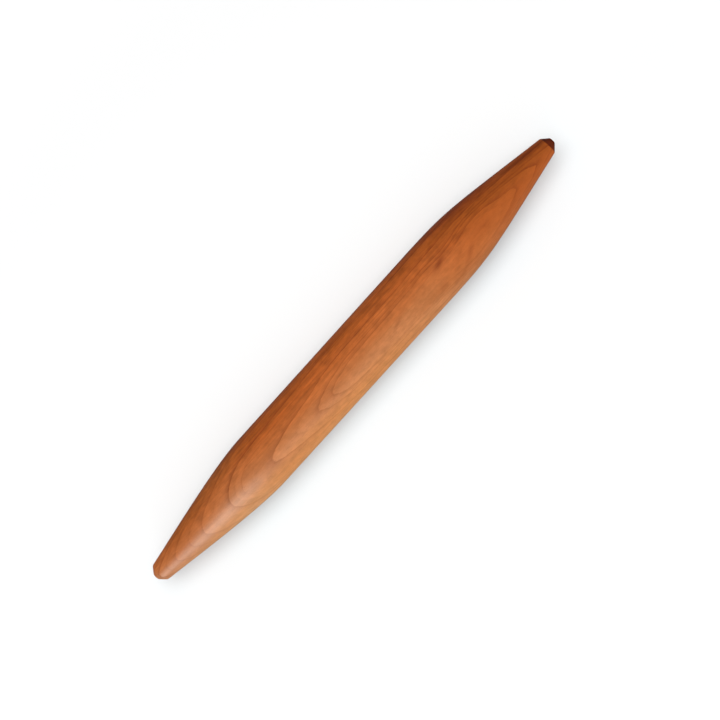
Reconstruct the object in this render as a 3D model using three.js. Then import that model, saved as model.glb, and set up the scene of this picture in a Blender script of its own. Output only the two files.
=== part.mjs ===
// A tapered French rolling pin: one piece of cherry, turned between centres on a lathe.
// It has no handles, axle or bearings, so the cook rolls the wood itself under both palms.
// Units are millimetres and +Z is up. The pin lies along X, as it lies on a table, with its
// lowest line on z = 0 and the origin under the middle of its length.

import * as THREE from "three";

// Driving sizes of the whole pin
const OVERALL_LENGTH = 470;
const BARREL_DIAMETER = 50.4;

// The two ends were turned by eye and differ a little. Each one is measured inward from its tip.
const LEFT_END = {
  length: 129.5, // from the tip to where the straight barrel begins
  rimDiameter: 17, // across the sharp corner between the taper and the chamfer
  rimTaperAngle: 9.1, // degrees between the axis and the taper where it meets the rim
  shoulderShare: 0.23, // how far along the taper the barrel's direction holds on
  flankShare: 0.34, // how far back from the rim the taper's own direction holds on
  chamferLength: 5.1, // along the axis
  noseDiameter: 6.4, // across the chamfer's small end, before its edge is rounded
  rimRound: 1.2, // length of rim corner that is sanded away on either side
  noseRound: 0.9, // the same at the nose
};

const RIGHT_END = {
  length: 147,
  rimDiameter: 15.7,
  rimTaperAngle: 10.3,
  shoulderShare: 0.37,
  flankShare: 0.64,
  chamferLength: 5.7,
  noseDiameter: 5.1,
  rimRound: 0.7,
  noseRound: 0.7,
};

// How finely the surface is divided. A round barrel touches the table along a line only, so the
// sides are few enough for the lowest one to be a flat that a solid can stand still on.
const SIDES = 48;
const BARREL_STEPS = 6;
const TAPER_STEPS = 16;
const ROUND_STEPS = 3;

// Cherry with an oiled, satin surface
const CHERRY_COLOUR = 0xb4683a;
const CHERRY_ROUGHNESS = 0.45;

const BARREL_RADIUS = BARREL_DIAMETER / 2;

// A point of the outline: its place along the axis, and its distance from the axis.
function outlinePoint(along, radius) {
  return new THREE.Vector2(along, radius);
}

// The point that lies a given distance from one point on the way to another.
function towards(from, to, distance) {
  return to.clone().sub(from).setLength(distance).add(from);
}

// The corner points of one end, as distances inward from its tip.
function endCorners(end) {
  return {
    nose: outlinePoint(0, end.noseDiameter / 2),
    rim: outlinePoint(end.chamferLength, end.rimDiameter / 2),
    barrel: outlinePoint(end.length, BARREL_RADIUS),
  };
}

// The long flowing taper, from the rim up to the barrel. It leaves the rim at the taper's angle
// and arrives along the barrel, so that no edge shows at the shoulder.
function taperCurve(end, corners) {
  const run = corners.barrel.x - corners.rim.x;
  const rise = Math.tan(THREE.MathUtils.degToRad(end.rimTaperAngle));
  const flank = run * end.flankShare;
  const shoulder = run * end.shoulderShare;
  return new THREE.CubicBezierCurve(
    corners.rim,
    outlinePoint(corners.rim.x + flank, corners.rim.y + flank * rise),
    outlinePoint(corners.barrel.x - shoulder, corners.barrel.y),
    corners.barrel,
  );
}

// A corner that sandpaper has rounded: it starts on one side of the corner and ends on the other.
function roundedCorner(before, corner, after) {
  return new THREE.QuadraticBezierCurve(before, corner, after).getPoints(ROUND_STEPS);
}

// One end's outline, from the point of the axis at the tip to the start of the barrel.
function endOutline(end) {
  const corners = endCorners(end);
  const taper = taperCurve(end, corners);
  const centre = outlinePoint(0, 0);

  const noseRounding = roundedCorner(
    towards(corners.nose, centre, end.noseRound),
    corners.nose,
    towards(corners.nose, corners.rim, end.noseRound),
  );

  // The taper proper starts where the rim's rounding ends.
  const roundShare = end.rimRound / taper.getLength();
  const rimRounding = roundedCorner(
    towards(corners.rim, corners.nose, end.rimRound),
    corners.rim,
    taper.getPointAt(roundShare),
  );
  const flank = Array.from({ length: TAPER_STEPS }, (unused, step) => {
    const travelled = (step + 1) / TAPER_STEPS;
    return taper.getPointAt(roundShare + (1 - roundShare) * travelled);
  });

  return [centre, ...noseRounding, ...rimRounding, ...flank];
}

// The whole outline from the left tip to the right tip, both of them on the axis.
function pinOutline() {
  const leftTip = -OVERALL_LENGTH / 2;
  const rightTip = OVERALL_LENGTH / 2;
  const left = endOutline(LEFT_END).map((p) => outlinePoint(leftTip + p.x, p.y));
  const right = endOutline(RIGHT_END).map((p) => outlinePoint(rightTip - p.x, p.y));

  const barrelStart = left[left.length - 1];
  const barrelEnd = right[right.length - 1];
  const barrel = new THREE.LineCurve(barrelStart, barrelEnd)
    .getPoints(BARREL_STEPS)
    .slice(1, -1);

  return [...left, ...barrel, ...right.reverse()];
}

// Revolves the outline. A flat of the many-sided section touches the true round at its middle,
// and one flat faces straight down, so the pin rests at its true height.
function turnedGeometry(outline) {
  const halfSide = Math.PI / SIDES;
  const cornerScale = 1 / Math.cos(halfSide);
  const profile = outline.map((p) => new THREE.Vector2(p.y * cornerScale, p.x));
  const geometry = new THREE.LatheGeometry(profile, SIDES, halfSide);
  geometry.rotateZ(-Math.PI / 2);
  return geometry;
}

function rollingPin() {
  const cherry = new THREE.MeshStandardMaterial({
    color: CHERRY_COLOUR,
    roughness: CHERRY_ROUGHNESS,
    metalness: 0,
  });
  const pin = new THREE.Mesh(turnedGeometry(pinOutline()), cherry);
  pin.name = "turned_pin";
  pin.position.z = BARREL_RADIUS;

  const group = new THREE.Group();
  group.add(pin);
  return group;
}

export default rollingPin();
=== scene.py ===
# %% [markdown]
# # A tapered rolling pin, turned from one piece of cherry
#
# The pin has no handles, no axle and no paint. It is a single length of wood, so all that
# the eye enjoys comes from two things: the outline that the turner cut, and the way that
# outline runs through the growth rings of the board. This lesson builds both of them.
#
# The imported CAD model is loaded first, because it fixes the frame: metres, +Z up, the pin
# along X, and its lowest line on z = 0. Its box is kept.

import math
from types import SimpleNamespace

import bmesh
import bpy
from mathutils import Matrix, Vector
from mathutils.geometry import interpolate_bezier


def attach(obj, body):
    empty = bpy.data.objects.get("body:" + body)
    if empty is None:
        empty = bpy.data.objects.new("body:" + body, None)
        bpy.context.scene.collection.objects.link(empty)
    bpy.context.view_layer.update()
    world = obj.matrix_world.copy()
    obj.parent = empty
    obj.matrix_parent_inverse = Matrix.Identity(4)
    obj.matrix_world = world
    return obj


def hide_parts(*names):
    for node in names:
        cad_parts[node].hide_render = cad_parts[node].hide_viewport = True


MM = 0.001
CM = 0.01


def in_mm(corners):
    """Corners in metres as rounded millimetres, for printing."""
    return [[round(value / MM, 2) for value in corner] for corner in corners]


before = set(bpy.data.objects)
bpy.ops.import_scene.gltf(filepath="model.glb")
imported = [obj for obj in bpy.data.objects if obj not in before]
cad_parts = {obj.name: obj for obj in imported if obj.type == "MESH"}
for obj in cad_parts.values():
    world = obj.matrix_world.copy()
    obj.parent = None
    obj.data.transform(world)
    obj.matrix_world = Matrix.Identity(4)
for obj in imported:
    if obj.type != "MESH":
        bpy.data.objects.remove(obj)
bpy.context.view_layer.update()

# %% [markdown]
# ## The outline
#
# A turner works from a half profile, a card that is held against the spinning wood. The same
# card is drawn here, from the tip inward: a small flat nose, a sanded chamfer, a crisp rim,
# and then one long curve that leaves the rim at the angle of the taper and arrives along the
# barrel. A cubic Bezier does just that with two handles, and no edge shows at the shoulder.
# The two ends were cut by eye on the real pin, so each has its own measures.

# %% Measures of the pin
OVERALL_LENGTH = 470 * MM
BARREL_RADIUS = 25.2 * MM

LEFT_END = {
    "length": 129.5 * MM,
    "rim_radius": 8.5 * MM,
    "rim_taper_angle": math.radians(9.1),
    "shoulder_share": 0.23,
    "flank_share": 0.34,
    "chamfer_length": 5.1 * MM,
    "nose_radius": 3.2 * MM,
    "rim_round": 1.2 * MM,
    "nose_round": 0.9 * MM,
}
RIGHT_END = {
    "length": 147 * MM,
    "rim_radius": 7.85 * MM,
    "rim_taper_angle": math.radians(10.3),
    "shoulder_share": 0.37,
    "flank_share": 0.64,
    "chamfer_length": 5.7 * MM,
    "nose_radius": 2.55 * MM,
    "rim_round": 0.7 * MM,
    "nose_round": 0.7 * MM,
}

barrel_length = OVERALL_LENGTH - LEFT_END["length"] - RIGHT_END["length"]
print("Straight part of the barrel in mm:", round(barrel_length / MM, 1))

# %% Corners that sandpaper has eased
ROUND_POINTS = 6

# A cubic curve follows a quadratic one when its handles go this far towards the corner.
HANDLE_SHARE = 2 / 3


def towards(start, goal, distance):
    """The point at a distance from start on the way to goal."""
    return start + (goal - start).normalized() * distance


def rounded(before, corner, after):
    """Points around an eased corner, from one side of it to the other."""
    first = before.lerp(corner, HANDLE_SHARE)
    second = after.lerp(corner, HANDLE_SHARE)
    return interpolate_bezier(before, first, second, after, ROUND_POINTS)


# %% The long taper
TAPER_POINTS = 56


def shortened(points, distance):
    """The same run of points without its first stretch."""
    for index, (here, there) in enumerate(zip(points, points[1:])):
        step = (there - here).length
        if step >= distance:
            return [here.lerp(there, distance / step)] + points[index + 1:]
        distance -= step
    return points[-1:]


def taper_curve(end, rim):
    """The long taper, from the sharp rim up to the barrel."""
    barrel = Vector((end["length"], BARREL_RADIUS))
    run = barrel.x - rim.x
    flank = run * end["flank_share"]
    leaving = rim + Vector((flank, flank * math.tan(end["rim_taper_angle"])))
    arriving = barrel - Vector((run * end["shoulder_share"], 0))
    return interpolate_bezier(rim, leaving, arriving, barrel, TAPER_POINTS)


# %% Draw the card of each end
# Two points on the chamfer, close to its roundings, keep the shading between them flat.
CHAMFER_SHARES = (0.1, 0.9)


def end_card(end):
    """Points from the middle of the tip to the barrel: distance inward, then radius."""
    centre = Vector((0, 0))
    nose = Vector((0, end["nose_radius"]))
    rim = Vector((end["chamfer_length"], end["rim_radius"]))
    taper = shortened(taper_curve(end, rim), end["rim_round"])
    nose_corner = rounded(
        towards(nose, centre, end["nose_round"]), nose, towards(nose, rim, end["nose_round"])
    )
    rim_corner = rounded(towards(rim, nose, end["rim_round"]), rim, taper[0])
    chamfer = [nose_corner[-1].lerp(rim_corner[0], share) for share in CHAMFER_SHARES]
    return [centre, *nose_corner, *chamfer, *rim_corner, *taper[1:]]


left_card = end_card(LEFT_END)
right_card = end_card(RIGHT_END)
print("Points on the two ends of the card:", len(left_card), len(right_card))

# %% [markdown]
# ## Turning the blank
#
# On the lathe the wood spins and the card stays still. In Blender it is the other way
# round, and just as quick: the card becomes a row of vertices joined by edges, and the spin
# operator carries it once around the axis. A cylinder pushed into shape with modifiers would
# also work, but its rings would have to be placed one by one. The two ends of the row lie on
# the axis, where the spin leaves a heap of doubles; merging them closes both poles.

# %% Spin the card around the axis
SPIN_STEPS = 160
DOUBLES_GAP = 0.001 * MM


def turned(name, outline):
    """Spins points of (x, radius) around the pin's axis into a closed, smooth mesh object."""
    mesh = bpy.data.meshes.new(name)
    bm = bmesh.new()
    row = [bm.verts.new((point.x, 0, BARREL_RADIUS + point.y)) for point in outline]
    edges = [bm.edges.new(pair) for pair in zip(row, row[1:])]
    bmesh.ops.spin(
        bm,
        geom=row + edges,
        cent=(0, 0, BARREL_RADIUS),
        axis=(1, 0, 0),
        angle=2 * math.pi,
        steps=SPIN_STEPS,
        use_merge=True,
    )
    bmesh.ops.remove_doubles(bm, verts=bm.verts, dist=DOUBLES_GAP)
    bmesh.ops.recalc_face_normals(bm, faces=bm.faces)
    for face in bm.faces:
        face.smooth = True
    open_edges = sum(not edge.is_manifold for edge in bm.edges)
    volume = bm.calc_volume(signed=True)
    bm.to_mesh(mesh)
    bm.free()
    piece = bpy.data.objects.new(name, mesh)
    bpy.context.scene.collection.objects.link(piece)
    print(name, "faces", len(mesh.polygons), "open edges", open_edges)
    print(name, "volume in cubic centimetres:", round(volume / CM ** 3, 1))
    return piece


# %% Join the two ends by the barrel and turn the pin
BARREL_POINTS = 24

left_tip = -OVERALL_LENGTH / 2
right_tip = OVERALL_LENGTH / 2
left_side = [Vector((left_tip + point.x, point.y)) for point in left_card]
right_side = [Vector((right_tip - point.x, point.y)) for point in reversed(right_card)]
barrel = [
    left_side[-1].lerp(right_side[0], step / BARREL_POINTS) for step in range(1, BARREL_POINTS)
]
pin = turned("cherry_pin", left_side + barrel + right_side)
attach(pin, "root")
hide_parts("turned_pin")

# %% [markdown]
# ## Small tools for shader nodes
#
# Wood is a solid, and its figure has to run through it: a line that meets the taper must be
# the same growth ring that surfaces again on the other end. So every pattern below is a
# three-dimensional field that reads the object's own coordinates, and nothing is wrapped
# around the surface. The helpers keep the node trees readable: one adds a node, one joins a
# value or a socket to an input, and the others wrap the nodes that are used most.


# %% Helpers that add and join nodes
def add(tree, kind, **settings):
    """Adds a node and sets its properties."""
    node = tree.nodes.new(kind)
    for name, value in settings.items():
        setattr(node, name, value)
    return node


def join(tree, source, socket):
    """Feeds an input from another socket, or with a plain value."""
    if isinstance(source, bpy.types.NodeSocket):
        tree.links.new(source, socket)
    else:
        socket.default_value = source


def effect(name, inputs, outputs):
    """A new node group with named sockets: its tree, what comes in and what goes out."""
    tree = bpy.data.node_groups.new(name, "ShaderNodeTree")
    for label, kind in inputs.items():
        tree.interface.new_socket(label, in_out="INPUT", socket_type=kind)
    for label in outputs:
        tree.interface.new_socket(label, in_out="OUTPUT", socket_type="NodeSocketFloat")
    entry = add(tree, "NodeGroupInput")
    leaving = add(tree, "NodeGroupOutput")
    return tree, entry.outputs, leaving.inputs


def placed(tree, group, **values):
    """Puts a group into a tree and feeds its inputs."""
    node = add(tree, "ShaderNodeGroup", node_tree=group)
    for label, value in values.items():
        join(tree, value, node.inputs[label])
    return node.outputs


# %% Helpers that work with numbers
def maths(tree, operation, *values):
    """One Math node."""
    node = add(tree, "ShaderNodeMath", operation=operation)
    for value, socket in zip(values, node.inputs):
        join(tree, value, socket)
    return node.outputs[0]


def both_ways(tree, value):
    """Spreads a value from 0..1 over -1..1."""
    return maths(tree, "MULTIPLY_ADD", value, 2.0, -1.0)


def ramp_between(tree, value, low, high, start=0.0, end=1.0):
    """Smooth step: start below low, end above high."""
    node = add(tree, "ShaderNodeMapRange", interpolation_type="SMOOTHSTEP")
    for source, name in (
        (value, "Value"),
        (low, "From Min"),
        (high, "From Max"),
        (start, "To Min"),
        (end, "To Max"),
    ):
        join(tree, source, node.inputs[name])
    return node.outputs["Result"]


def between(tree, share, first, second):
    """A number that goes from first to second as share goes from 0 to 1."""
    node = add(tree, "ShaderNodeMix", data_type="FLOAT")
    numbers = [socket for socket in node.inputs if socket.type == "VALUE"]
    for source, socket in zip((share, first, second), numbers):
        join(tree, source, socket)
    return node.outputs[0]


def curve_through(tree, value, points, handles="AUTO"):
    """A Float Curve through points of (input, output), in whatever units they have."""
    low, high = points[0][0], points[-1][0]
    least = min(result for place, result in points)
    most = max(result for place, result in points)
    node = add(tree, "ShaderNodeFloatCurve")
    curve = node.mapping.curves[0]
    for place, result in points[1:-1]:
        curve.points.new((place - low) / (high - low), (result - least) / (most - least))
    for point in curve.points:
        point.handle_type = handles
    node.mapping.update()
    share = maths(tree, "DIVIDE", maths(tree, "SUBTRACT", value, low), high - low)
    join(tree, share, node.inputs["Value"])
    return maths(tree, "MULTIPLY_ADD", node.outputs[0], most - least, least)


# %% Helpers that work with places
def split(tree, vector):
    """The three numbers of a vector."""
    node = add(tree, "ShaderNodeSeparateXYZ")
    join(tree, vector, node.inputs[0])
    return node.outputs


def length_of(tree, vector):
    """How long a vector is."""
    node = add(tree, "ShaderNodeVectorMath", operation="LENGTH")
    join(tree, vector, node.inputs[0])
    return node.outputs["Value"]


def reach_towards(tree, vector, direction):
    """How far a vector reaches in a direction."""
    node = add(tree, "ShaderNodeVectorMath", operation="DOT_PRODUCT")
    join(tree, vector, node.inputs[0])
    node.inputs[1].default_value = direction
    return node.outputs["Value"]


def stretched(tree, vector, sizes, shift=(0.0, 0.0, 0.0), turn=(0.0, 0.0, 0.0)):
    """Coordinates that count in patches of the given sizes, from a shifted and turned origin."""
    node = add(tree, "ShaderNodeMapping", vector_type="TEXTURE")
    join(tree, vector, node.inputs["Vector"])
    node.inputs["Location"].default_value = shift
    node.inputs["Rotation"].default_value = turn
    node.inputs["Scale"].default_value = sizes
    return node.outputs["Vector"]


def cloud(tree, vector, sizes, shift, detail=1.0):
    """Noise from -1 to 1 with patches of the given sizes."""
    noise = add(tree, "ShaderNodeTexNoise")
    join(tree, stretched(tree, vector, sizes, shift), noise.inputs["Vector"])
    noise.inputs["Scale"].default_value = 1.0
    noise.inputs["Detail"].default_value = detail
    return both_ways(tree, noise.outputs[0])


# %% Helpers that work with colours
def blended(tree, share, first, second, blend="MIX"):
    """One Mix node for colours."""
    node = add(tree, "ShaderNodeMix", data_type="RGBA", blend_type=blend)
    join(tree, share, node.inputs["Factor"])
    colours = [socket for socket in node.inputs if socket.type == "RGBA"]
    join(tree, first, colours[0])
    join(tree, second, colours[1])
    return next(socket for socket in node.outputs if socket.type == "RGBA")


def tinted(tree, share, colour, tint):
    """Multiplies a colour by a tint, as far as share says."""
    return blended(tree, share, colour, tint, "MULTIPLY")


def colour_ramp(tree, value, stops, interpolation="LINEAR"):
    """A Color Ramp through stops of (position, colour), for a value from 0 to 1."""
    node = add(tree, "ShaderNodeValToRGB")
    node.color_ramp.interpolation = interpolation
    elements = node.color_ramp.elements
    while len(elements) < len(stops):
        elements.new(1.0)
    for element, (position, colour) in zip(elements, stops):
        element.position = position
        element.color = (*colour, 1.0)
    join(tree, value, node.inputs["Fac"])
    return node.outputs["Color"]


# %% [markdown]
# ## Growth rings
#
# A tree adds one ring a year: pale wood in spring, then darker and denser wood that ends
# sharply when growth stops. In this board the rings are nearly flat sheets, because the
# heart of the tree lay far behind it. A pin that tapers cuts these sheets at a small angle,
# and they show as nested arches on the tapers and as fine lines along the barrel's sides.
#
# A Wave texture would give rings of equal width, and real years differ. So the rings are a
# short list of depths, measured from the pin's axis towards the bark, with how dark each one
# ends. A Float Curve turns depth into a year count. The fraction of the count says how far a
# year has grown, and its whole part picks the year's own darkness from a stepped ramp.
#
# The tree wasn't quite straight either, so a second curve bends the sheets along the board,
# more so towards both ends of the pin, and soft noise lets the lines wander.

# %% Where the years end
# Depth in mm at which a year ends, and how dark it ends. The first row only starts the count.
GROWTH_RINGS = [
    (-48.0, 0.6), (-44.0, 0.7), (-40.5, 0.5), (-37.0, 0.8), (-33.5, 0.6), (-30.5, 0.7),
    (-27.0, 0.5), (-24.0, 0.8), (-21.0, 0.6), (-18.5, 0.7), (-15.5, 0.5), (-12.5, 0.8),
    (-10.0, 0.4), (-7.2, 0.6), (-2.4, 0.4), (1.6, 0.6), (5.6, 0.2), (10.6, 1.0),
    (12.6, 0.2), (14.6, 0.5), (17.0, 0.25), (19.4, 1.0), (21.2, 0.3), (22.8, 0.9),
    (24.0, 0.9), (25.8, 0.8), (26.8, 0.2), (27.8, 0.25), (28.8, 0.2), (30.5, 0.2),
    (34.0, 0.3),
]
years = len(GROWTH_RINGS) - 1
print("Years in the board:", years)

# %% How far out in the tree a point lies
# Place along the pin, and how much nearer to the bark the bend puts the wood there, in mm
BOARD_BEND = [
    (-240.0, -22.0), (-160.0, -14.2), (-110.0, -7.3), (-50.0, -3.3), (0.0, 0.0),
    (60.0, 0.7), (110.0, 2.2), (160.0, 7.2), (240.0, 16.2),
]
# From the pin to the heart of the tree, in mm
HEART_DISTANCE = 300.0

# The lines wander in broad waves, in curls that grow in the outer wood, and in a fine tremble.
# Patches are sizes in mm along, across and outward, and amounts are mm of depth.
WAVES = {"sizes": (75.0, 17.0, 17.0), "shift": (13.0, 5.0, 2.0)}
WAVE_AMOUNT = 0.5
CURLS = {"sizes": (26.0, 7.0, 7.0), "shift": (31.0, 7.0, 1.0)}
CURL_DEPTHS = (24.0, 28.0)
CURL_AMOUNTS = (0.3, 0.7)
TREMBLE = {"sizes": (14.0, 1.5, 1.5), "shift": (5.0, 3.0, 2.0)}
TREMBLE_AMOUNT = 0.15


def ring_depth(tree, board, swirl):
    """How far out towards the bark a point of the board lies, as the rings see it."""
    along, sideways, outward = split(tree, board)
    bend = curve_through(tree, along, BOARD_BEND)
    bow = maths(tree, "DIVIDE", maths(tree, "MULTIPLY", sideways, sideways), 2 * HEART_DISTANCE)
    depth = maths(tree, "ADD", maths(tree, "ADD", outward, bend), bow)
    depth = maths(tree, "ADD", depth, swirl)
    curl_amount = ramp_between(tree, depth, *CURL_DEPTHS, *CURL_AMOUNTS)
    for amount, pattern in (
        (WAVE_AMOUNT, WAVES), (curl_amount, CURLS), (TREMBLE_AMOUNT, TREMBLE)
    ):
        depth = maths(tree, "MULTIPLY_ADD", cloud(tree, board, **pattern), amount, depth)
    return depth


def year_count(tree, depth):
    """Which year a depth belongs to, with the part of that year that has grown."""
    ends = [(ring[0], year) for year, ring in enumerate(GROWTH_RINGS)]
    return curve_through(tree, depth, ends, "VECTOR")


# %% How dark a year is
# Latewood darkens in two exponential rises, for a thin line and for a soft shade before it.
LINE_STEEPNESS = 5.4
LINE_SHARE = 0.7
SHADE_STEEPNESS = 1.8
SHADE_SHARE = 0.3

# The dark wood ends sharply: it fades out between this part of the year and the year's end.
YEAR_STOPS = 0.92

# No ring is evenly dark along its way.
UNEVEN_DARKNESS = {"sizes": (50.0, 7.0, 7.0), "shift": (3.0, 9.0, 14.0)}
UNEVEN_AMOUNT = 0.5

# The outermost rings stay faint from the left end to the gum pocket: mm along, mm of depth.
FAINT_ALONG = (60.0, 130.0)
FAINT_DEPTHS = (24.6, 25.2)
FAINT_AMOUNT = 0.75


def late_growth(tree, count):
    """0 in spring wood, 1 in the last wood of the year, and 0 again at its very end."""
    grown = maths(tree, "FRACT", count)
    from_end = maths(tree, "SUBTRACT", grown, 1.0)
    line = maths(tree, "POWER", math.exp(LINE_STEEPNESS), from_end)
    shade = maths(tree, "POWER", math.exp(SHADE_STEEPNESS), from_end)
    line = maths(tree, "MULTIPLY", line, LINE_SHARE)
    dark = maths(tree, "MULTIPLY_ADD", shade, SHADE_SHARE, line)
    return maths(tree, "MULTIPLY", dark, ramp_between(tree, grown, YEAR_STOPS, 1.0, 1.0, 0.0))


def year_strength(tree, year_middle):
    """The year's own darkness from the list, by way of a stepped ramp."""
    strengths = [ring[1] for ring in GROWTH_RINGS[1:]]
    stops = [(year / years, (strength,) * 3) for year, strength in enumerate(strengths)]
    share = maths(tree, "DIVIDE", year_middle, float(years))
    return colour_ramp(tree, share, stops, "CONSTANT")


def ring_clearness(tree, board, depth):
    """Around 1, and less where the outermost rings are faint."""
    uneven = cloud(tree, board, **UNEVEN_DARKNESS)
    uneven = maths(tree, "MULTIPLY_ADD", uneven, UNEVEN_AMOUNT, 1.0)
    faint = ramp_between(tree, split(tree, board)[0], *FAINT_ALONG, FAINT_AMOUNT, 0.0)
    faint = maths(tree, "MULTIPLY", faint, ramp_between(tree, depth, *FAINT_DEPTHS))
    return maths(tree, "MULTIPLY", uneven, maths(tree, "SUBTRACT", 1.0, faint))


# %% Node group for the growth rings
def growth_ring_effect():
    """Board coordinates in mm give the dark end of each year and a tone for the year."""
    tree, given, result = effect(
        "growth rings",
        {"Board": "NodeSocketVector", "Swirl": "NodeSocketFloat"},
        ("Latewood", "Year Tone"),
    )
    depth = ring_depth(tree, given["Board"], given["Swirl"])
    count = year_count(tree, depth)
    year_middle = maths(tree, "ADD", maths(tree, "FLOOR", count), 0.5)
    dark = maths(tree, "MULTIPLY", late_growth(tree, count), year_strength(tree, year_middle))
    dark = maths(tree, "MULTIPLY", dark, ring_clearness(tree, given["Board"], depth))
    join(tree, dark, result["Latewood"])

    chance = add(tree, "ShaderNodeTexWhiteNoise", noise_dimensions="1D")
    join(tree, year_middle, chance.inputs["W"])
    join(tree, both_ways(tree, chance.outputs["Value"]), result["Year Tone"])
    return tree


growth_rings = growth_ring_effect()
print("Nodes in the growth rings:", len(growth_rings.nodes))

# %% [markdown]
# ## Fibres, pores and rays
#
# Cherry is fine and even. Up close it shows short dark dashes, the pores, which lie along the
# grain, and where the surface cuts the board on its edge there are small shiny flecks, the
# rays. Both are noise with very long or very flat patches, of which only the peaks are kept.
#
# Two lengths of streak follow the grain, and soft blotches about as big as a fingernail
# mottle the wood, because cherry takes oil unevenly. A picture of wood would show all of this
# at once, but it would smear on the tapers; noise in space is cut by them as real fibres are.

# %% Node group for fibres, pores and rays
# Patches are sizes in mm along the grain, across it and outward to the bark.
PORES = {"sizes": (3.6, 0.2, 0.2), "shift": (1.0, 2.0, 3.0), "detail": 0.0}
PORE_PEAKS = (0.25, 0.6)
RAYS = {"sizes": (0.8, 0.16, 4.5), "shift": (4.0, 8.0, 6.0), "detail": 0.0}
RAY_PEAKS = (0.25, 0.55)
WIDE_STREAKS = {"sizes": (70.0, 2.6, 2.6), "shift": (9.0, 3.0, 7.0), "detail": 2.0}
WIDE_STREAK_AMOUNT = 0.6
FINE_STREAKS = {"sizes": (30.0, 1.2, 1.2), "shift": (2.0, 6.0, 5.0), "detail": 3.0}
BLOTCHES = {"sizes": (7.5, 4.2, 4.2), "shift": (6.0, 4.0, 9.0), "detail": 3.0}


def fibre_effect():
    """Board coordinates in mm give masks for pores and rays, and tones for the rest."""
    tree, given, result = effect(
        "cherry fibres",
        {"Board": "NodeSocketVector"},
        ("Pores", "Rays", "Streaks", "Blotches"),
    )
    board = given["Board"]
    pores = ramp_between(tree, cloud(tree, board, **PORES), *PORE_PEAKS)
    join(tree, pores, result["Pores"])
    rays = ramp_between(tree, cloud(tree, board, **RAYS), *RAY_PEAKS)
    join(tree, rays, result["Rays"])
    wide = cloud(tree, board, **WIDE_STREAKS)
    fine = cloud(tree, board, **FINE_STREAKS)
    join(tree, maths(tree, "MULTIPLY_ADD", wide, WIDE_STREAK_AMOUNT, fine), result["Streaks"])
    join(tree, cloud(tree, board, **BLOTCHES), result["Blotches"])
    return tree


cherry_fibres = fibre_effect()
print("Nodes in the fibres:", len(cherry_fibres.nodes))

# %% [markdown]
# ## Standing the board in its place
#
# The pin wasn't cut square to the board: the bark lay to the near side and up. So there are
# two sets of coordinates, both in millimetres from the middle of the axis. A Mapping node
# makes each one. The pin's own set says how far along the pin a point lies, how near and how
# high. The board's set is turned about the axis until its third number points at the bark.

# %% Coordinates of the wood
AXIS_MIDDLE = (0.0, 0.0, BARREL_RADIUS)
COUNT_IN_MM = (MM, MM, MM)
BOARD_TURN = math.radians(31)
# Both are tipped forward by 15 degrees. So a cook who looks down on the pin from 75 degrees
# above the table sees as much of the near side as of the far side.
NEAR_SIDE = (0.0, -0.966, -0.259)
UPPER_SIDE = (0.0, -0.259, 0.966)
print("Degrees from straight up to the bark:", round(math.degrees(BOARD_TURN), 1))


def wood_coordinates(tree):
    """Where a point of the wood lies, in all the ways that the finishes ask for."""
    given = add(tree, "ShaderNodeTexCoord").outputs
    place = given["Object"]
    pin_place = stretched(tree, place, COUNT_IN_MM, AXIS_MIDDLE)
    return SimpleNamespace(
        place=place,
        pin=pin_place,
        board=stretched(tree, place, COUNT_IN_MM, AXIS_MIDDLE, (BOARD_TURN, 0.0, 0.0)),
        lengthwise=split(tree, pin_place)[0],
        nearness=reach_towards(tree, pin_place, NEAR_SIDE),
        height=reach_towards(tree, pin_place, UPPER_SIDE),
        facing=split(tree, given["Normal"])[0],
    )


# %% [markdown]
# ## The body colour, with painted shade and a painted sheen
#
# Cherry is golden in its younger wood and red-brown further in, and it darkens in daylight. This
# pin is golden on the near side and red on the far side. That is partly the wood's own tone and
# partly painted shade: the lamps stand on the near side, so the far side is painted darker, most
# of all at its edge. Towards the right end, which faces away from the lamps, the red and dark
# come around to the near side as well, again partly painted shade. The left end is a little
# paler and cooler, which is a painted sheen where the highlight lies on the left taper.
#
# One Color Ramp across the pin holds all these tones. Two curves along the pin slide it, one
# for the near side and one for the far side, and noise breaks the border between the tones.
# The hidden underside is taken to be more golden again. Painting the tones by hand would
# need a picture, and a picture can't be turned on a lathe.

# %% Tones across and along the pin
# Distance across the pin in mm, from red to golden, and the colour there in linear values. The
# dark red stops of the far side hold painted shade as well as the wood's tone.
BODY_AND_SHADE_COLOURS = [
    (-30.0, (0.22, 0.037, 0.002)),
    (-21.5, (0.36, 0.080, 0.008)),
    (-14.0, (0.46, 0.107, 0.017)),
    (-4.0, (0.515, 0.144, 0.033)),
    (3.0, (0.50, 0.164, 0.046)),
    (11.0, (0.588, 0.224, 0.079)),
    (21.5, (0.65, 0.255, 0.079)),
    (30.0, (0.70, 0.315, 0.11)),
]
# How far the ramp reaches to either side of its middle, in mm
BODY_SPAN = 30.0
# Large shifts towards the right end darken the near side there: partly painted shade, on the end
# that faces away from the lamps.
# Place along the pin, and how far the ramp slides there towards the near side, in mm
NEAR_SIDE_SHIFT = [
    (-240.0, -4.0), (-190.0, -4.0), (-140.0, -4.0), (-90.0, -2.0), (0.0, 0.5),
    (60.0, 5.5), (150.0, 20.5), (195.0, 23.0), (240.0, 22.5),
]
# The far side's larger shifts at both ends darken its edge there, which is painted shade.
FAR_SIDE_SHIFT = [
    (-240.0, 13.0), (-190.0, 8.0), (-140.0, 2.0), (-60.0, 1.0), (80.0, 1.0), (120.0, 6.0),
    (195.0, 15.0), (240.0, 18.5),
]
print("Tones from red to golden:", len(BODY_AND_SHADE_COLOURS))

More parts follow.
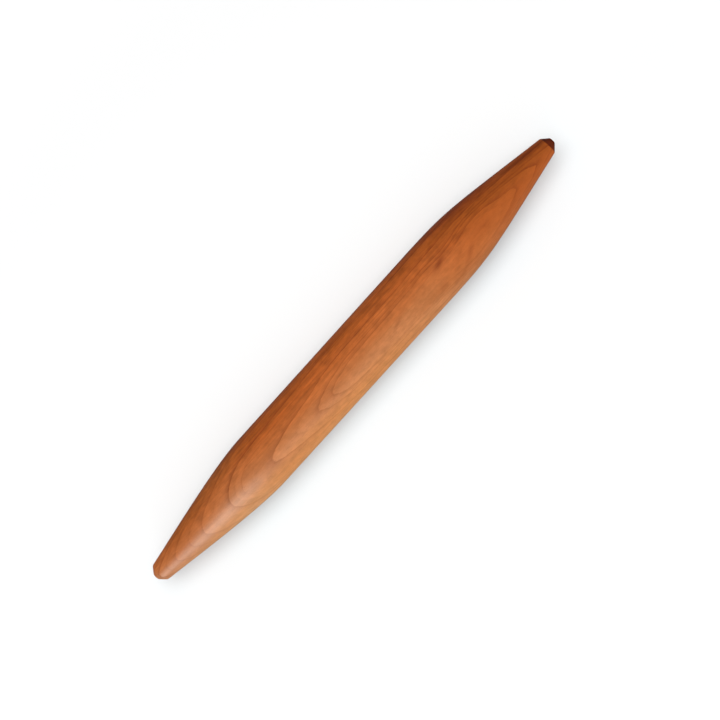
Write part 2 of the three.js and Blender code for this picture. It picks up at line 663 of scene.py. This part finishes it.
# %% Body colour of the cherry
FAR_TO_NEAR = (-14.0, 18.0)
COLOUR_WANDER = {"sizes": (60.0, 9.0, 9.0), "shift": (2.0, 8.0, 3.0), "detail": 2.0}
COLOUR_WANDER_AMOUNT = 5.0
UNDERSIDE_HEIGHTS = (-16.0, 0.0)
UNDERSIDE_SHIFT = 12.0
# The left end is tinted paler and cooler: a painted sheen where the lamps' highlight lies on the
# left taper.
LEFT_END_SHEEN_ALONG = (-140.0, -85.0)
LEFT_END_SHEEN_TINT = (0.96, 1.09, 1.38, 1.0)


def place_across(tree, wood):
    """Where a point lies on the ramp of body colours, in mm."""
    near_share = ramp_between(tree, wood.nearness, *FAR_TO_NEAR)
    near_shift = curve_through(tree, wood.lengthwise, NEAR_SIDE_SHIFT)
    far_shift = curve_through(tree, wood.lengthwise, FAR_SIDE_SHIFT)
    shift = between(tree, near_share, far_shift, near_shift)
    across = maths(tree, "SUBTRACT", wood.nearness, shift)
    wander = cloud(tree, wood.pin, **COLOUR_WANDER)
    across = maths(tree, "MULTIPLY_ADD", wander, COLOUR_WANDER_AMOUNT, across)
    golden_below = ramp_between(tree, wood.height, *UNDERSIDE_HEIGHTS, UNDERSIDE_SHIFT, 0.0)
    return maths(tree, "ADD", across, golden_below)


def body_colour_and_painted_light(tree, wood):
    """The wood's own colour, with painted shade and a painted sheen, before its figure."""
    stops = [(0.5 + across / (2 * BODY_SPAN), colour) for across, colour in BODY_AND_SHADE_COLOURS]
    across = place_across(tree, wood)
    share = maths(tree, "MULTIPLY_ADD", across, 0.5 / BODY_SPAN, 0.5)
    body = colour_ramp(tree, share, stops)
    # Painted sheen on the left end.
    left_end_sheen = ramp_between(tree, wood.lengthwise, *LEFT_END_SHEEN_ALONG, 1.0, 0.0)
    return tinted(tree, left_end_sheen, body, LEFT_END_SHEEN_TINT)


# %% [markdown]
# ## The figure on the body colour
#
# Over the body colour come the fibres and the years. Streaks and mottling make the wood
# lighter or darker, and they are stronger on the red far side than on the golden near side.
# Latewood and pores don't just darken it, they are also redder, so they multiply the colour
# by a tint. On the near side the rings fade to half, because they are fainter in light wood.
#
# Where gum once gathered, the rings part around it. That takes no new pattern: a soft blob of
# space near the pocket lowers the depth that the rings read, and the lines bend by themselves.

# %% Soft blobs of space
def sliver(tree, place, middle, size, turn, strength):
    """Strength in the middle of a long blob, nothing outside. Sizes in mm, turns in degrees."""
    reach = [side * MM for side in size]
    shift = [side * MM for side in middle]
    turns = [math.radians(angle) for angle in turn]
    inside = length_of(tree, stretched(tree, place, reach, shift, turns))
    return ramp_between(tree, inside, 0.0, 1.0, strength, 0.0)


# %% How light the wood is
FAR_TO_MIDDLE = (-14.0, 6.0)
STREAK_AMOUNTS = (0.36, 0.1)
MOTTLING_FACTORS = (1.4, 1.0)
# Place along the pin in mm, and how strong the mottling is there
MOTTLING = [
    (-240.0, 0.14), (-150.0, 0.2), (-60.0, 0.24), (20.0, 0.27), (110.0, 0.27), (160.0, 0.15),
    (240.0, 0.12),
]
YEAR_TONE_AMOUNT = 0.025
RAY_AMOUNT = 0.06


def wood_tone(tree, wood, rings, fibres):
    """How light the wood is, around 1."""
    streaky = ramp_between(tree, wood.nearness, *FAR_TO_MIDDLE, *STREAK_AMOUNTS)
    tone = maths(tree, "ADD", maths(tree, "MULTIPLY", fibres["Streaks"], streaky), 1.0)
    mottling = curve_through(tree, wood.lengthwise, MOTTLING)
    stronger = ramp_between(tree, wood.nearness, *FAR_TO_MIDDLE, *MOTTLING_FACTORS)
    mottling = maths(tree, "MULTIPLY", mottling, stronger)
    tone = maths(tree, "MULTIPLY_ADD", fibres["Blotches"], mottling, tone)
    tone = maths(tree, "MULTIPLY_ADD", rings["Year Tone"], YEAR_TONE_AMOUNT, tone)
    return maths(tree, "MULTIPLY_ADD", fibres["Rays"], RAY_AMOUNT, tone)


# %% Rings and pores on the wood
SWIRL = {
    "middle": (118.0, -1.0, 50.0), "size": (30.0, 12.0, 20.0), "turn": (0.0, 0.0, 0.0),
    "strength": 1.0,
}
SWIRL_DEPTH = -1.3
MIDDLE_TO_NEAR = (-4.0, 18.0)
LATEWOOD_AMOUNTS = (1.0, 0.5)
LATEWOOD_TINT = (0.55, 0.40, 0.30, 1.0)
PORE_AMOUNT = 0.3
PORE_TINT = (0.55, 0.42, 0.34, 1.0)


def figured(tree, wood, body, fibres):
    """The body colour with its figure, and the mask of the latewood."""
    swirl = maths(tree, "MULTIPLY", sliver(tree, wood.place, **SWIRL), SWIRL_DEPTH)
    rings = placed(tree, growth_rings, Board=wood.board, Swirl=swirl)
    toned = add(tree, "ShaderNodeVectorMath", operation="SCALE")
    join(tree, body, toned.inputs[0])
    join(tree, wood_tone(tree, wood, rings, fibres), toned.inputs["Scale"])

    clear = ramp_between(tree, wood.nearness, *MIDDLE_TO_NEAR, *LATEWOOD_AMOUNTS)
    latewood = maths(tree, "MULTIPLY", rings["Latewood"], clear)
    colour = tinted(tree, latewood, toned.outputs[0], LATEWOOD_TINT)
    pores = maths(tree, "MULTIPLY", fibres["Pores"], PORE_AMOUNT)
    return tinted(tree, pores, colour, PORE_TINT), latewood


# %% [markdown]
# ## Gum, and painted shade along the right taper
#
# Cherry trees bleed gum into small cracks, and it stays in the board as dark slivers with soft
# edges. The clearest one sits on top of the right shoulder, with a faint halo. A long dark one
# runs along the far edge of the right taper: it is partly a dark streak in the grain and partly
# painted shade, on the side of that end that faces away from the lamps. The rest are faint
# smudges and soft dark streaks in the grain. Each sliver is an ellipsoid in the wood, written as
# its middle, its reach and its turn, because noise puts its peaks anywhere and these have their
# own places.

# %% Slivers of gum
# Gum is dark in the wood; the same tint paints the shade along the right taper's far edge.
GUM_AND_SHADE_TINT = (0.42, 0.26, 0.20, 1.0)
# Middle in mm, reach in mm, turn in degrees, strength
GUM_AND_FAR_EDGE_SHADE = [
    ((106.0, -5.6, 49.8), (10.5, 3.4, 5.0), (0.0, 0.0, 14.0), 0.66),
    ((107.0, -6.0, 49.8), (17.0, 7.0, 7.0), (0.0, 0.0, 10.0), 0.2),
    ((110.0, 8.1, 49.1), (6.0, 1.6, 4.0), (0.0, 0.0, 0.0), 0.35),
    ((131.0, -3.2, 49.3), (11.0, 3.0, 5.0), (0.0, 0.0, 0.0), 0.2),
    ((128.6, -16.4, 43.4), (20.0, 3.6, 3.6), (0.0, -20.0, 22.0), 0.3),
    ((50.0, -12.8, 46.9), (11.0, 2.4, 2.4), (0.0, -10.0, 17.0), 0.3),
    ((167.8, -15.5, 34.9), (29.0, 2.6, 2.6), (0.0, 0.0, 10.5), 0.25),
    ((147.6, -10.1, 44.6), (15.0, 2.6, 2.6), (0.0, 6.0, 3.0), 0.18),
    ((110.3, -22.1, 37.2), (14.0, 3.2, 3.2), (0.0, 0.0, 0.0), 0.2),
    ((94.4, -19.2, 41.5), (10.0, 4.0, 4.0), (0.0, 0.0, 0.0), 0.15),
    ((29.3, -17.3, 43.6), (8.0, 4.5, 4.5), (0.0, 0.0, 0.0), 0.14),
    # This broad sliver is partly a dark streak and partly painted shade on the far edge of the
    # right end.
    ((211.5, 6.4, 35.5), (33.0, 5.6, 5.6), (0.0, 7.6, -6.5), 0.72),
]


def with_gum_and_shade(tree, place, colour):
    """The colour with all the slivers of gum in it, one of which paints shade along the right
    taper's far edge.
    """
    for middle, size, turn, strength in GUM_AND_FAR_EDGE_SHADE:
        gum = sliver(tree, place, middle, size, turn, strength)
        # One of these slivers is painted shade rather than gum.
        colour = tinted(tree, gum, colour, GUM_AND_SHADE_TINT)
    return colour


print("Slivers of gum:", len(GUM_AND_FAR_EDGE_SHADE))

# %% [markdown]
# ## End grain, painted shade on the right tip, oil and relief
#
# At the tips the cut fibres stand open and drink more oil than any side. The right tip is tinted
# dark brown: partly end grain that has drunk oil, and partly painted shade, because that tip
# faces away from the lamps. The left one, which faces them, is only a little rougher. The mask
# is the direction of the surface: wherever the normal turns to look along the pin, the grain is
# cut across.
#
# The oil leaves a satin surface. Pores, latewood and blotches are slightly duller than the
# wood between them, so the masks that colour the wood also feed its roughness. The reflection
# at a right angle is kept low, because bare oiled wood has no coat of lacquer. The relief is
# a few hundredths of a millimetre: raised fibres and sunken pores, and no rings, because a
# sanded pin is smooth across them.

# %% Cut ends and oiled surface
TIP_FACING = (0.3, 0.62)

OILED_ROUGHNESS = 0.4
BLOTCH_ROUGHNESS = 0.03
PORE_ROUGHNESS = 0.08
END_GRAIN_ROUGHNESS = 0.15
LATEWOOD_ROUGHNESS = 0.06


def tip_masks(tree, facing):
    """Masks of the left tip and of the right tip."""
    low, high = TIP_FACING
    left = ramp_between(tree, facing, -high, -low, 1.0, 0.0)
    right = ramp_between(tree, facing, low, high)
    return left, right


def oiled_roughness(tree, fibres, end_grain, latewood):
    """Satin oil, duller where the wood is open."""
    rough = OILED_ROUGHNESS
    for mask, amount in (
        (fibres["Blotches"], BLOTCH_ROUGHNESS),
        (fibres["Pores"], PORE_ROUGHNESS),
        (end_grain, END_GRAIN_ROUGHNESS),
        (latewood, LATEWOOD_ROUGHNESS),
    ):
        rough = maths(tree, "MULTIPLY_ADD", mask, amount, rough)
    return rough


# %% Relief of the fibres
RELIEF_LEVEL = 0.5
FIBRE_RELIEF = 0.3
PORE_RELIEF = -0.5
RELIEF_STRENGTH = 0.35
RELIEF_HEIGHT = 0.03 * MM


def fibre_relief(tree, fibres):
    """A normal that follows raised fibres and sunken pores."""
    relief = maths(tree, "MULTIPLY_ADD", fibres["Streaks"], FIBRE_RELIEF, RELIEF_LEVEL)
    relief = maths(tree, "MULTIPLY_ADD", fibres["Pores"], PORE_RELIEF, relief)
    bump = add(tree, "ShaderNodeBump")
    bump.inputs["Strength"].default_value = RELIEF_STRENGTH
    bump.inputs["Distance"].default_value = RELIEF_HEIGHT
    join(tree, relief, bump.inputs["Height"])
    return bump.outputs["Normal"]


# %% Build the cherry material
# The right tip's tint is end grain darkened by oil and painted shade together.
END_GRAIN_AND_SHADE_TINT = (0.37, 0.20, 0.0, 1.0)
OIL_REFLECTION = 0.12


def cherry_material():
    """Oiled cherry: body colour, figure, gum and end grain, under a satin surface."""
    material = bpy.data.materials.new("oiled_cherry")
    material.use_nodes = True
    tree = material.node_tree
    shader = tree.nodes["Principled BSDF"]
    wood = wood_coordinates(tree)
    fibres = placed(tree, cherry_fibres, Board=wood.board)
    colour, latewood = figured(tree, wood, body_colour_and_painted_light(tree, wood), fibres)
    colour = with_gum_and_shade(tree, wood.place, colour)
    left, right = tip_masks(tree, wood.facing)
    # Painted shade and end grain on the right tip.
    colour = tinted(tree, right, colour, END_GRAIN_AND_SHADE_TINT)
    end_grain = maths(tree, "ADD", left, right)
    join(tree, colour, shader.inputs["Base Color"])
    rough = oiled_roughness(tree, fibres, end_grain, latewood)
    join(tree, rough, shader.inputs["Roughness"])
    join(tree, fibre_relief(tree, fibres), shader.inputs["Normal"])
    shader.inputs["Specular IOR Level"].default_value = OIL_REFLECTION
    print("Nodes in the cherry:", len(tree.nodes))
    return material


pin.data.materials.append(cherry_material())
print("Materials on the pin:", [slot.name for slot in pin.material_slots])

# %% [markdown]
# ## The floor
#
# The pin lies on a seamless white sweep. For the camera the floor is partly a light of its
# own, and more so far from the pin. So it stays white where nothing shades it, and still
# shows the soft contact shadow. For the light that falls on the pin it is a plain pale
# surface, and in the wood's gloss it is dark, so that no grey veil lies on the cherry.
#
# Red wood throws red light on the floor beside it. A photographer would balance that away,
# and here a soft strip of slightly cooler floor does it, so that the shadow is a neutral
# grey. The strip lies a little to the near side, where the lit wood throws most, and it is
# weaker under the slim ends.

# %% Colour of the floor
FLOOR_COLOUR = (0.462, 0.463, 0.463, 1.0)
FLOOR_IN_GLOSS = (0.1, 0.1, 0.1, 1.0)
COOL_STRIP_COLOUR = (0.438, 0.491, 0.515, 1.0)
COOL_STRIP_MIDDLE = -8 * MM
COOL_STRIP_ASIDE = (5 * MM, 58 * MM)
COOL_STRIP_ALONG = (115 * MM, 215 * MM)
COOL_STRIP_AT_ENDS = 0.25


def floor_colour(tree, place, in_gloss):
    """Pale grey, with the cooler strip beside the pin, and dark in gloss."""
    along, aside, above = split(tree, place)
    off_strip = maths(tree, "ABSOLUTE", maths(tree, "SUBTRACT", aside, COOL_STRIP_MIDDLE))
    cool = ramp_between(tree, off_strip, *COOL_STRIP_ASIDE, 1.0, 0.0)
    from_middle = maths(tree, "ABSOLUTE", along)
    inward = ramp_between(tree, from_middle, *COOL_STRIP_ALONG, 1.0, COOL_STRIP_AT_ENDS)
    cool = maths(tree, "MULTIPLY", cool, inward)
    shown = blended(tree, cool, FLOOR_COLOUR, COOL_STRIP_COLOUR)
    return blended(tree, in_gloss, shown, FLOOR_IN_GLOSS)


# %% Floor material
# How strongly the floor glows for the camera near the pin, and how far off it glows fully
FLOOR_GLOW = 0.18
GLOW_DISTANCES = (0.3, 1.3)


def floor_material():
    """A diffuse floor that also glows for the camera."""
    material = bpy.data.materials.new("studio_floor")
    material.use_nodes = True
    tree = material.node_tree
    tree.nodes.clear()
    light_path = add(tree, "ShaderNodeLightPath").outputs
    place = add(tree, "ShaderNodeTexCoord").outputs["Object"]
    plain = add(tree, "ShaderNodeBsdfDiffuse")
    colour = floor_colour(tree, place, light_path["Is Glossy Ray"])
    join(tree, colour, plain.inputs["Color"])

    glow = add(tree, "ShaderNodeEmission")
    level = ramp_between(tree, length_of(tree, place), *GLOW_DISTANCES, FLOOR_GLOW, 1.0)
    join(tree, level, glow.inputs["Strength"])
    seen = add(tree, "ShaderNodeAddShader")
    join(tree, plain.outputs[0], seen.inputs[0])
    join(tree, glow.outputs[0], seen.inputs[1])

    choice = add(tree, "ShaderNodeMixShader")
    join(tree, light_path["Is Camera Ray"], choice.inputs["Fac"])
    join(tree, plain.outputs[0], choice.inputs[1])
    join(tree, seen.outputs[0], choice.inputs[2])
    output = add(tree, "ShaderNodeOutputMaterial")
    join(tree, choice.outputs[0], output.inputs["Surface"])
    return material


# %% Lay the floor
FLOOR_HALF_SIDE = 4.0

floor_mesh = bpy.data.meshes.new("floor")
bm = bmesh.new()
bmesh.ops.create_grid(bm, x_segments=1, y_segments=1, size=FLOOR_HALF_SIDE)
bm.to_mesh(floor_mesh)
bm.free()
floor = bpy.data.objects.new("floor", floor_mesh)
bpy.context.scene.collection.objects.link(floor)
floor_mesh.materials.append(floor_material())
print("Floor in metres:", [round(side, 2) for side in floor.dimensions])

# %% [markdown]
# ## The light
#
# The pin is lit as for a catalogue: an even white sky, a broad lamp overhead, and a softbox
# on the near side that shapes the barrel. The long satin highlight is a job of its own. A
# lamp strong enough for it would bleach the wood, so the sheen lamp is seen in gloss alone,
# and the overhead lamp is left out of gloss. One more lamp shines on the floor alone, to
# keep it white around the shadow.

# %% Light from all around
SKY_LEVEL = 0.84
SKY_IN_GLOSS = 0.1
WHITE = (1.0, 1.0, 1.0, 1.0)


def studio_world():
    """An even sky: white for the camera, a little less as light, and dim in gloss."""
    world = bpy.data.worlds.new("studio")
    world.use_nodes = True
    # An even sky has no bright spots that would need sampling as a lamp.
    world.cycles.sampling_method = "NONE"
    tree = world.node_tree
    tree.nodes.clear()
    light_path = add(tree, "ShaderNodeLightPath").outputs
    level = maths(
        tree, "MULTIPLY_ADD", light_path["Is Camera Ray"], 1.0 - SKY_LEVEL, SKY_LEVEL
    )
    level = maths(
        tree, "MULTIPLY_ADD", light_path["Is Glossy Ray"], SKY_IN_GLOSS - SKY_LEVEL, level
    )
    background = add(tree, "ShaderNodeBackground")
    background.inputs["Color"].default_value = WHITE
    join(tree, level, background.inputs["Strength"])
    output = add(tree, "ShaderNodeOutputWorld")
    join(tree, background.outputs[0], output.inputs["Surface"])
    return world


bpy.context.scene.world = studio_world()
print("Sky level:", SKY_LEVEL)

# %% Lamps
LAMP_DISTANCE = 1.5


def from_near_side(height_angle, side_angle):
    """A direction from the pin to the near side, at angles above the floor and to the right."""
    return Vector((
        math.sin(side_angle),
        -math.cos(side_angle) * math.cos(height_angle),
        math.cos(side_angle) * math.sin(height_angle),
    ))


def soft_lamp(name, watts, size, height, aside):
    """A rectangular lamp that faces the pin. Its angles are in degrees."""
    lamp = bpy.data.objects.new(name, bpy.data.lights.new(name, "AREA"))
    lamp.data.shape = "RECTANGLE"
    lamp.data.energy = watts
    lamp.data.size, lamp.data.size_y = size
    direction = from_near_side(math.radians(height), math.radians(aside))
    lamp.location = Vector(AXIS_MIDDLE) + direction * LAMP_DISTANCE
    lamp.rotation_euler = direction.to_track_quat("Z", "Y").to_euler()
    lamp.visible_camera = False
    bpy.context.scene.collection.objects.link(lamp)
    print(name, "at", [round(value, 2) for value in lamp.location])
    return lamp


overhead = soft_lamp("overhead", watts=3.4, size=(1.4, 1.4), height=80, aside=0)
overhead.visible_glossy = False

floor_lamp = soft_lamp("floor_lamp", watts=25, size=(1.4, 1.4), height=88, aside=0)
lit_by_it = bpy.data.collections.new("lit by the floor lamp")
lit_by_it.objects.link(floor)
floor_lamp.light_linking.receiver_collection = lit_by_it

soft_lamp("softbox", watts=3.9, size=(0.28, 1.5), height=28, aside=-32)

sheen = soft_lamp("sheen", watts=68, size=(0.9, 1.5), height=18, aside=-45)
sheen.visible_diffuse = False

# %% [markdown]
# ## The camera
#
# The camera looks down on the pin from the near side, and a little from the right, so that
# the right end is nearer. It is rolled until the pin runs from the lower left to the upper
# right of the picture. Its axes are worked out from three angles rather than found by trial.

# %% Place the camera
CAMERA_HEIGHT_ANGLE = math.radians(75)
CAMERA_SIDE_ANGLE = math.radians(5.67)
CAMERA_DISTANCE = 969 * MM
CAMERA_ALONG = 7.6 * MM
CAMERA_ACROSS = 4.1 * MM
PIN_ROLL = math.radians(47.7613)
LENS = 61
FILM_WIDTH = 36
NEAREST_SEEN = 0.05
FARTHEST_SEEN = 20

toward = from_near_side(CAMERA_HEIGHT_ANGLE, CAMERA_SIDE_ANGLE)
along = (Vector((1, 0, 0)) - toward * toward.x).normalized()
across = along.cross(toward)
right = along * math.cos(PIN_ROLL) + across * math.sin(PIN_ROLL)
up = along * math.sin(PIN_ROLL) - across * math.cos(PIN_ROLL)
turn = Matrix((right, up, toward)).transposed().to_4x4()
station = Vector(AXIS_MIDDLE) + toward * CAMERA_DISTANCE
station += along * CAMERA_ALONG + across * CAMERA_ACROSS

camera = bpy.data.objects.new("camera", bpy.data.cameras.new("camera"))
camera.data.lens = LENS
camera.data.sensor_width = FILM_WIDTH
camera.data.clip_start = NEAREST_SEEN
camera.data.clip_end = FARTHEST_SEEN
camera.matrix_world = Matrix.Translation(station) @ turn
bpy.context.scene.collection.objects.link(camera)
bpy.context.scene.camera = camera
print("Camera in mm:", in_mm([station]))

# %% [markdown]
# ## Finish
#
# The view transform is Standard, so that a colour shows as it was written.

# %% Finish
bpy.context.scene.view_settings.view_transform = "Standard"
